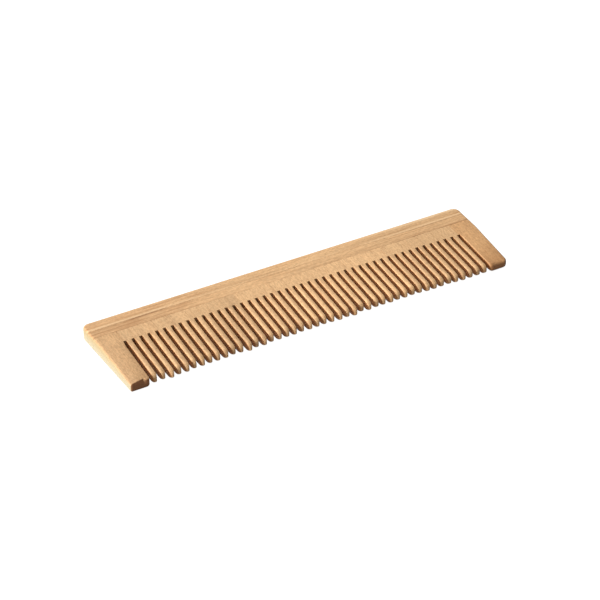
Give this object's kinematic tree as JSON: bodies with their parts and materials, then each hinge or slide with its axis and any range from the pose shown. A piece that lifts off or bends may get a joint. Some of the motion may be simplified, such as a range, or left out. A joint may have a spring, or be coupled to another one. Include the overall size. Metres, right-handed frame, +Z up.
{
  "type": "wide tooth comb",
  "caption": "Flat laminated bamboo hair comb with one row of wide-set tapered teeth between two broad end guards and a straight spine along the back.",
  "frame": {"origin": "under the middle of the comb's bounding box, on the flat surface that it lies on", "axes": "+X along the comb, towards the right-hand guard when the teeth point at the viewer; +Y across it, from the tooth tips to the back edge; +Z up, out of the planed top face"},
  "size_m": [0.1798, 0.0436, 0.0058],
  "materials": {
    "bamboo_lengthwise": "sanded and oiled bamboo, satin, grain along the comb",
    "bamboo_crosswise": "sanded and oiled bamboo, satin, grain along the teeth",
    "bamboo_guard": "sanded and oiled bamboo, satin, slightly darker, grain along the teeth"
  },
  "bodies": {
    "root": {"spine_outer_strip": "bamboo_lengthwise", "spine_inner_strip": "bamboo_lengthwise", "tooth_strip_1": "bamboo_crosswise", "tooth_strip_2": "bamboo_crosswise", "tooth_strip_3": "bamboo_crosswise", "tooth_strip_4": "bamboo_crosswise", "tooth_strip_5": "bamboo_crosswise", "tooth_strip_6": "bamboo_crosswise", "tooth_strip_7": "bamboo_crosswise", "tooth_strip_8": "bamboo_crosswise", "tooth_strip_9": "bamboo_crosswise", "end_guard_left": "bamboo_guard", "end_guard_right": "bamboo_guard"}
  },
  "joints": []
}
